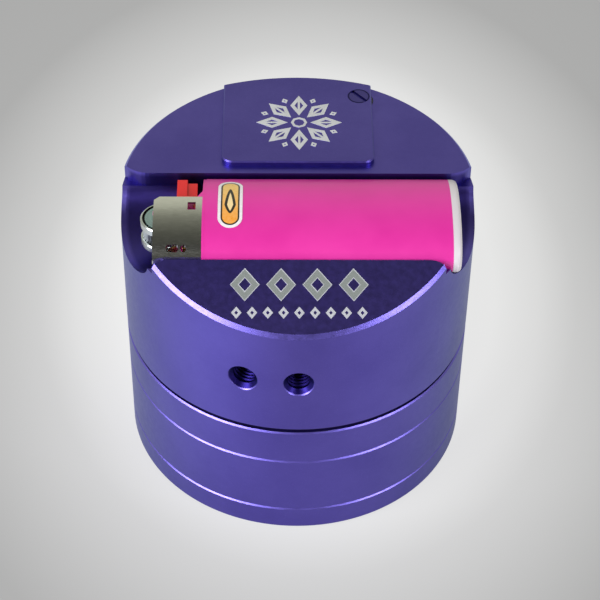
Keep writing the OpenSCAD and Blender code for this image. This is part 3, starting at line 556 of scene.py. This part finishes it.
rosette_parts = [make_frame_of("hub", PETAL_COUNT, HUB_SIZE, HUB_LINE)]
petal = make_petal()
bud = make_frame_of("bud", 4, BUD_SIZE, BUD_LINE)
for index in range(PETAL_COUNT):
    turn = 2 * math.pi * index / PETAL_COUNT
    half = turn + math.pi / PETAL_COUNT
    for model, radius, angle in ((petal, PETAL_RADIUS, turn), (bud, BUD_RADIUS, half)):
        place = (-radius * math.sin(angle), radius * math.cos(angle), 0)
        rosette_parts.append(copy_piece(model, place, angle))
for model in (petal, bud):
    bpy.data.objects.remove(model)
rosette = join_pieces("cover_rosette", rosette_parts,
                      (ROSETTE_PLACE[0], ROSETTE_PLACE[1], cover_top - ENGRAVING / 3))
rosette.data.materials.append(bared_silver)
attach(rosette, "cover")

screw_low, screw_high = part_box("pivot_screw")
pivot = (screw_low + screw_high) / 2
SCREW_EDGE = (0.0019, 0.0024, (0.25, 0.25, 0.4, 1))
dress(make_turned("violet_black_screw", (0.085, 0.07, 0.31, 1), roughness=0.3,
                  centre=(pivot.x, pivot.y, 0.0), rings=(SCREW_EDGE,)), "pivot_screw")
dress(make_moulded("nylon_washer", (0.035, 0.03, 0.07, 1), (0.022, 0.02, 0.045, 1),
                   roughness=0.45), "pivot_washer")


# -------------------------------------------------------- Lighter tank, base cap and label
# The tank and head are moulded in tinted plastic, the cap in white plastic welded on its end. A
# film label with rounded ends is wrapped over the tank next to the hood.

tank_low, tank_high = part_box("lighter_tank")
pink_plastic = make_moulded("pink_plastic", (0.77, 0.036, 0.37, 1), (0.72, 0.029, 0.34, 1),
                            roughness=0.34, peel=900.0, depth=0.000005)
dress(pink_plastic, "lighter_tank", "lighter_head")
dress(make_moulded("white_plastic", (0.74, 0.69, 0.76, 1), (0.68, 0.63, 0.70, 1),
                   roughness=0.36), "lighter_base")

MM = 0.001
LABEL_WIDTH = 0.0046
LABEL_LENGTH = 0.0132
LABEL_FROM_END = 0.00465
LABEL_SHIFT = 0.0004
LABEL_EDGE = 0.00056
LABEL_OUTLINE = 0.0003
LABEL_FILM = 0.00005
LABEL_CORNERS = 48
LABEL_STRIPS = 26
LABEL_START = 2 * MM
MIDLINE = 0.0001 * MM
PRINT_EDGE = 0.00004
DROP_FOOT = -0.0034
DROP_WIDEST = -0.0012
DROP_TIP = 0.0036
DROP_HALF = 0.00115
DROP_LINE = 0.00055

tank_middle = (tank_low + tank_high) / 2
label_x = tank_low.x + LABEL_FROM_END
label_y = tank_middle.y + LABEL_SHIFT
half_straight = (LABEL_LENGTH - LABEL_WIDTH) / 2


def make_label_film():
    """White film edge, a dark outline, an amber field that deepens to orange, and a plain drop."""
    finish, tree, shader = start_finish("label_film", Roughness=0.3, Coat_Weight=0.2,
                                        Coat_Roughness=0.1)
    x, y, z = split_place(tree, object_place(tree))
    x = count_with(tree, "SUBTRACT", x, label_x)
    y = count_with(tree, "SUBTRACT", y, label_y)
    beyond = count_with(tree, "SUBTRACT", count_with(tree, "ABSOLUTE", y), half_straight)
    past = count_with(tree, "MAXIMUM", beyond, 0.0)
    inset = count_with(tree, "SUBTRACT", LABEL_WIDTH / 2, spin_radius(tree, x, past))
    field_edge = LABEL_EDGE + LABEL_OUTLINE
    inside_edge = fade_between(tree, inset, LABEL_EDGE - PRINT_EDGE, LABEL_EDGE + PRINT_EDGE)
    inside_line = fade_between(tree, inset, field_edge - PRINT_EDGE, field_edge + PRINT_EDGE)
    fibre = make_noise(tree, object_place(tree), scale=1800.0, detail=3.0)
    amber = blend_colours(tree, fade_between(tree, y, -half_straight, half_straight),
                          (0.90, 0.36, 0.05, 1), (0.88, 0.56, 0.16, 1))
    amber = blend_colours(tree, fade_between(tree, fibre, 0.4, 0.7, 0.0, 0.15), amber,
                          (0.98, 0.8, 0.5, 1))
    taper = fade_between(tree, y, DROP_WIDEST, DROP_TIP, 1.0, 0.0)
    rounding = fade_between(tree, y, DROP_FOOT, DROP_WIDEST)
    arch = count_with(tree, "SQRT", count_with(tree, "MULTIPLY", taper, rounding))
    drop_half = count_with(tree, "MULTIPLY", arch, DROP_HALF)
    from_side = count_with(tree, "SUBTRACT", drop_half, count_with(tree, "ABSOLUTE", x))
    drop = fade_between(tree, from_side, PRINT_EDGE, 3 * PRINT_EDGE)
    core = fade_between(tree, from_side, DROP_LINE, DROP_LINE + 2 * PRINT_EDGE)
    field = blend_colours(tree, drop, amber, (0.012, 0.008, 0.006, 1))
    field = blend_colours(tree, core, field, (0.95, 0.72, 0.38, 1))
    lined = blend_colours(tree, inside_line, (0.012, 0.008, 0.008, 1), field)
    white = blend_colours(tree, fade_between(tree, fibre, 0.3, 0.7),
                          (0.82, 0.78, 0.84, 1), (0.9, 0.87, 0.92, 1))
    tree.links.new(blend_colours(tree, inside_edge, white, lined), shader.inputs["Base Color"])
    tree.links.new(fade_between(tree, fibre, 0.3, 0.7, 0.26, 0.36), shader.inputs["Roughness"])
    raise_grain(tree, shader, fibre, depth=0.000003)
    return finish


def make_label():
    """A round film pulled long, cut into strips, laid on the tank and given its thickness."""
    bpy.ops.object.select_all(action="DESELECT")
    bpy.ops.mesh.primitive_circle_add(vertices=LABEL_CORNERS, radius=LABEL_WIDTH / 2,
                                      fill_type="NGON")
    label = bpy.context.object
    label.name = "lighter_label"
    label.data.name = "lighter_label"
    for side in (1, -1):
        bpy.ops.object.mode_set(mode="OBJECT")
        mesh = label.data
        for part in (*mesh.vertices, *mesh.edges, *mesh.polygons):
            part.select = False
        for vertex in mesh.vertices:
            vertex.select = side * vertex.co.y > MIDLINE
        bpy.ops.object.mode_set(mode="EDIT")
        bpy.ops.mesh.select_mode(type="VERT")
        bpy.ops.transform.translate(value=(0, side * half_straight, 0))
    for index in range(1, LABEL_STRIPS):
        cut = LABEL_LENGTH * (index / LABEL_STRIPS - 0.5)
        bpy.ops.mesh.select_all(action="SELECT")
        bpy.ops.mesh.bisect(plane_co=(0, cut, 0), plane_no=(0, 1, 0))
    bpy.ops.mesh.select_all(action="SELECT")
    bpy.ops.transform.translate(value=(label_x, label_y, tank_high.z + LABEL_START))
    bpy.ops.object.mode_set(mode="OBJECT")
    wrap = label.modifiers.new("wrap", "SHRINKWRAP")
    wrap.target = nodes["lighter_tank"]
    wrap.wrap_method = "PROJECT"
    wrap.use_project_z = True
    wrap.use_negative_direction = True
    wrap.use_positive_direction = False
    wrap.offset = LABEL_FILM / 4
    thick = label.modifiers.new("film", "SOLIDIFY")
    thick.thickness = LABEL_FILM
    thick.offset = 1.0
    for name in ("wrap", "film"):
        bpy.ops.object.modifier_apply(modifier=name)
    return label


label = make_label()
label.data.materials.append(make_label_film())
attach(label, "lighter")


# -------------------------------------------------------- Lighter hood, wheels, fork and jet
# The wind guard is folded from satin steel sheet. A hardened spark wheel and two plated thumb
# wheels turn on one axle beside it, over the flint and its spring. The fork is moulded in red.


def make_brushed_sheet(name, metal, dull, roughness):
    """Sheet steel with a satin grain along the hood and slight stains."""
    finish, tree, shader = start_finish(name, Metallic=1.0)
    place = object_place(tree)
    stretched = add_step(tree, "ShaderNodeMapping", {
        "Vector": place, "Scale": (1.0, 26.0, 26.0)}).outputs[0]
    grain = make_noise(tree, stretched, scale=900.0, detail=3.0, roughness=0.6)
    stain = make_noise(tree, place, scale=420.0, detail=3.0)
    tone = count_with(tree, "MULTIPLY", fade_between(tree, grain, 0.3, 0.65, 0.35, 1.0),
                      fade_between(tree, stain, 0.3, 0.7, 0.75, 1.0))
    tree.links.new(blend_colours(tree, tone, dull, metal), shader.inputs["Base Color"])
    tree.links.new(fade_between(tree, grain, 0.3, 0.7, roughness - 0.05, roughness + 0.07),
                   shader.inputs["Roughness"])
    raise_grain(tree, shader, grain, depth=0.000002)
    return finish


dress(make_brushed_sheet("satin_sheet_steel", (0.72, 0.72, 0.70, 1), (0.50, 0.50, 0.48, 1),
                         roughness=0.2), "lighter_hood")
wheel_low, wheel_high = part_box("lighter_thumb_wheels")
wheel_axis = ((wheel_low.x + wheel_high.x) / 2, (wheel_low.y + wheel_high.y) / 2, 0.0)
# Painted shade: the thumb wheels' groove between hub and rim is darkened to near black.
GROOVE_PAINTED_SHADE = (0.0033, 0.00372, (0.03, 0.03, 0.035, 1))
HUB_RING = (0.0, 0.0033, (0.55, 0.72, 0.76, 1))
ALONG_LIGHTER = (0.0, math.pi / 2, 0.0)
dress(make_turned("plated_thumb_wheel", (0.62, 0.66, 0.66, 1), roughness=0.25,
                  centre=wheel_axis, rings=(GROOVE_PAINTED_SHADE, HUB_RING)), "lighter_thumb_wheels")
dress(make_turned("hardened_spark_wheel", (0.50, 0.54, 0.55, 1), roughness=0.35,
                  centre=wheel_axis), "lighter_spark_wheel")
dress(turned_steel, "lighter_axle")
dress(make_turned("spring_wire", (0.5, 0.5, 0.48, 1), roughness=0.28,
                  centre=(0.0, wheel_axis[1], tank_middle.z), tilt=ALONG_LIGHTER),
      "lighter_flint_spring")
dress(make_moulded("red_plastic", (0.76, 0.018, 0.022, 1), (0.66, 0.013, 0.018, 1),
                   roughness=0.34), "lighter_fork")
jet_low, jet_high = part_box("lighter_jet")
jet_axis = (jet_low + jet_high) / 2
dress(make_turned("turned_brass", (0.66, 0.45, 0.14, 1), roughness=0.22,
                  centre=(0.0, jet_axis.y, jet_axis.z), tilt=ALONG_LIGHTER), "lighter_jet")
dress(make_moulded("pressed_flint", (0.10, 0.10, 0.105, 1), (0.05, 0.05, 0.055, 1),
                   roughness=0.6, peel=3500.0, depth=0.00002, Metallic=0.7), "lighter_flint")


# -------------------------------------------------------- Floor, lights and camera
# A pale floor under soft studio light: two large side panels and a sky that is dim overhead
# and on the camera's side. Seen directly, the sky is a plain grey backdrop, and the floor glows
# with a painted pool of light, bright near the piece and grey far off. In reflections the floor
# glows with painted light at the front left, with painted shade straight in front and a painted
# shadow near the piece.

FLOOR_SIZE = 6.0
FLOOR_STRETCH = (1.0, 0.70, 1.0)
FLOOR_CENTRE = (0.003, 0.0275, 0.0)
FLOOR_REACH = 0.2
FLOOR_PAINTED_POOL = ((0.0, 0.90), (0.21, 0.89), (0.26, 0.79), (0.3, 0.66), (0.425, 0.44), (1.0, 0.38))
FLOOR_COLOUR = (0.84, 0.84, 0.84, 1)
SEEN_GLOW = 0.8
MIRRORED_GLOW = 0.6
MIRRORED_EDGE = (0.036, 0.09)
MIRRORED_PAINTED_SHADOW = (0.5, 0.5, 0.52, 1)
MIRRORED_FAR = (0.8, 0.8, 0.8, 1)
MIRRORED_PAINTED_LIGHT = (1.15, 1.2, 1.4, 1)
MIRRORED_PAINTED_SHADE = (0.16, 0.15, 0.14, 1)


def set_ramp(ramp, stops):
    """Sets a colour ramp's stops in grey; its first and last stop are there already."""
    for place, level in stops:
        if place == 0.0:
            stop = ramp.elements[0]
        elif place == 1.0:
            stop = ramp.elements[-1]
        else:
            stop = ramp.elements.new(place)
        stop.color = (level, level, level, 1)


bpy.ops.object.select_all(action="DESELECT")
bpy.ops.mesh.primitive_plane_add(size=FLOOR_SIZE, location=(0, 0, 0))
floor = bpy.context.object
floor.name = "floor"
floor_finish, tree, shader = start_finish("pale_floor", Roughness=0.9, Specular_IOR_Level=0.1)
spread = add_step(tree, "ShaderNodeVectorMath", {0: object_place(tree), 1: FLOOR_STRETCH},
                  operation="MULTIPLY")
centred = add_step(tree, "ShaderNodeVectorMath", {0: spread.outputs[0], 1: FLOOR_CENTRE},
                   operation="SUBTRACT")
away = add_step(tree, "ShaderNodeVectorMath", {0: centred.outputs[0]},
                operation="LENGTH").outputs["Value"]
# Painted pool of light: seen directly, the floor glows bright near the piece and grey far off.
shade = add_step(tree, "ShaderNodeValToRGB", {0: fade_between(tree, away, 0.0, FLOOR_REACH)})
set_ramp(shade.color_ramp, FLOOR_PAINTED_POOL)
glow = add_step(tree, "ShaderNodeEmission", {"Color": shade.outputs[0], "Strength": 1.0})
rays = add_step(tree, "ShaderNodeLightPath")
tree.links.new(blend_colours(tree, rays.outputs["Is Camera Ray"], FLOOR_COLOUR, shade.outputs[0]),
               shader.inputs["Base Color"])
seen = count_with(tree, "MULTIPLY", rays.outputs["Is Camera Ray"], SEEN_GLOW)
both = add_step(tree, "ShaderNodeMixShader", {0: seen, 1: shader.outputs[0], 2: glow.outputs[0]})


def painted_patch(centre, reach):
    """Returns a soft round patch of the floor, 1 in its middle, for painted light or shade."""
    away = add_step(tree, "ShaderNodeVectorMath", {0: object_place(tree), 1: centre + (0.0,)},
                    operation="DISTANCE").outputs["Value"]
    return add_step(tree, "ShaderNodeMapRange", {
        "Value": away, "From Min": 0.0, "From Max": reach, "To Min": 1.0, "To Max": 0.0},
        interpolation_type="SMOOTHSTEP").outputs["Result"]


# Painted reflections: glossy rays see the floor darker near the piece, with a painted bright patch
# at the front left and a painted dark patch straight in front.
from_axis = spin_radius(tree, *split_place(tree, object_place(tree))[:2])
level = blend_colours(tree, fade_between(tree, from_axis, *MIRRORED_EDGE),
                      MIRRORED_PAINTED_SHADOW, MIRRORED_FAR)
level = blend_colours(tree, painted_patch((-0.075, -0.07), 0.085), level, MIRRORED_PAINTED_LIGHT)
level = blend_colours(tree, painted_patch((0.004, -0.105), 0.062), level, MIRRORED_PAINTED_SHADE)
painted_reflection_glow = add_step(tree, "ShaderNodeEmission", {"Color": level, "Strength": 1.0})
mirrored = count_with(tree, "MULTIPLY", rays.outputs["Is Glossy Ray"], MIRRORED_GLOW)
all_rays = add_step(tree, "ShaderNodeMixShader", {
    0: mirrored, 1: both.outputs[0], 2: painted_reflection_glow.outputs[0]})
tree.links.new(all_rays.outputs[0], tree.nodes["Material Output"].inputs["Surface"])
floor.data.materials.append(floor_finish)

SKY_BY_HEIGHT = ((0.0, 0.6), (0.5, 0.7), (0.62, 0.7), (0.72, 0.6), (0.8, 0.4), (0.88, 0.28),
                 (1.0, 0.23))
SKY_BY_SIDE = ((0.0, 0.06), (0.25, 0.1), (0.55, 0.45), (0.8, 1.0), (1.0, 1.0))
SKY_TINT = (1.0, 1.02, 0.82, 1)
BACKDROP_GREY = (0.35, 0.35, 0.35, 1)
world = bpy.data.worlds.new("studio")
bpy.context.scene.world = world
world.use_nodes = True
tree = world.node_tree
sky_place = add_step(tree, "ShaderNodeTexCoord").outputs["Generated"]
sky_y, sky_z = split_place(tree, sky_place)[1:]
height = add_step(tree, "ShaderNodeValToRGB", {0: sky_z})
set_ramp(height.color_ramp, SKY_BY_HEIGHT)
behind = add_step(tree, "ShaderNodeValToRGB", {0: fade_between(tree, sky_y, -1.0, 1.0)})
set_ramp(behind.color_ramp, SKY_BY_SIDE)
soft = blend_colours(tree, 1.0, behind.outputs[0], height.outputs[0], "MULTIPLY")
tinted = blend_colours(tree, 1.0, soft, SKY_TINT, "MULTIPLY")
seen_sky = add_step(tree, "ShaderNodeLightPath").outputs["Is Camera Ray"]
tree.links.new(blend_colours(tree, seen_sky, tinted, BACKDROP_GREY),
               tree.nodes["Background"].inputs["Color"])
tree.nodes["Background"].inputs["Strength"].default_value = 1.0


def add_panel(name, size, place, target, power):
    """Adds a large soft lamp that faces a target."""
    lamp = bpy.data.lights.new(name, "AREA")
    lamp.shape = "RECTANGLE"
    lamp.size, lamp.size_y = size
    lamp.energy = power
    panel = bpy.data.objects.new(name, lamp)
    bpy.context.scene.collection.objects.link(panel)
    panel.location = place
    panel.rotation_euler = (Vector(target) - Vector(place)).to_track_quat("-Z", "Y").to_euler()


LIT_POINT = (0, 0, 0.04)
add_panel("panel_left", (0.52, 0.42), (-0.53, -0.40, 0.42), LIT_POINT, 6.6)
add_panel("panel_right", (0.34, 0.36), (0.54, -0.45, 0.44), LIT_POINT, 2.9)

CAMERA_LENS = 115.07
CAMERA_PLACE = (-4.40, -275.93, 298.33)
CAMERA_ROLL = 0.0144
camera_data = bpy.data.cameras.new("camera")
camera = bpy.data.objects.new("camera", camera_data)
bpy.context.scene.collection.objects.link(camera)
camera_data.sensor_width = 36.0
camera_data.lens = CAMERA_LENS
camera_data.clip_start = 0.01
pitch, turn = math.radians(44.19), math.radians(1.04)
look = Vector((math.sin(turn) * math.cos(pitch), math.cos(turn) * math.cos(pitch),
               -math.sin(pitch)))
camera.location = Vector(CAMERA_PLACE) * MM
camera.rotation_mode = "QUATERNION"
camera.rotation_quaternion = (look.to_track_quat("-Z", "Y")
                              @ Quaternion((0, 0, 1), CAMERA_ROLL))
bpy.context.scene.camera = camera
bpy.context.scene.view_settings.view_transform = "Standard"
